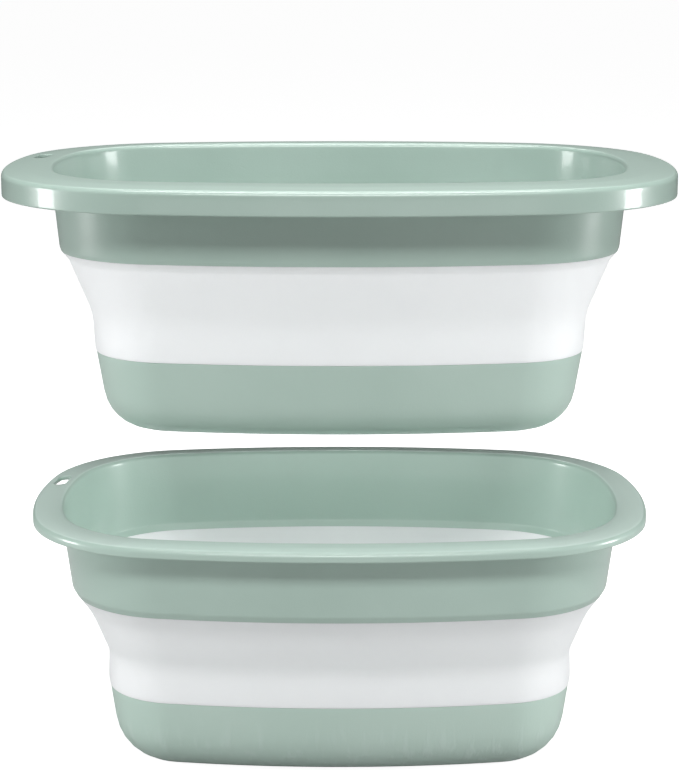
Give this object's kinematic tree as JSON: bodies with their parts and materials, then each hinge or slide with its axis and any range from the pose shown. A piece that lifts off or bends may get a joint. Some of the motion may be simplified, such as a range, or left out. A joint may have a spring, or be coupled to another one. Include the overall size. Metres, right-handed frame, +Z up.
{
  "type": "collapsible colander and basin set",
  "caption": "Collapsible colander held above its collapsible basin, each with a rigid rim and base joined by a soft folding band",
  "frame": {"origin": "centre of the basin's underside, on the surface it stands on", "axes": "+X along the length of both vessels, +Y across them, +Z up"},
  "size_m": [0.4266, 0.3036, 0.3858],
  "materials": {
    "sage_plastic": "moulded polypropylene, satin with a soft gloss on the rims",
    "white_soft_band": "smooth matte thermoplastic elastomer"
  },
  "bodies": {
    "basin_foot": {"basin_base": "sage_plastic", "basin_band": "white_soft_band"},
    "basin_frame": {"basin_rim": "sage_plastic"},
    "colander_frame": {"colander_rim": "sage_plastic", "colander_band": "white_soft_band"},
    "colander_foot": {"colander_base": "sage_plastic"}
  },
  "joints": [
    {"name": "basin_collapse", "type": "slide", "parent": "basin_foot", "child": "basin_frame", "axis": [0, 0, -1], "range_m": [0, 0.096], "deforming": ["basin_band"]},
    {"name": "colander_lift", "type": "slide", "parent": "basin_foot", "child": "colander_frame", "axis": [0, 0, 1], "range_m": [-0.1665, 0.06]},
    {"name": "colander_collapse", "type": "slide", "parent": "colander_frame", "child": "colander_foot", "axis": [0, 0, 1], "range_m": [0, 0.095], "deforming": ["colander_band"]}
  ]
}
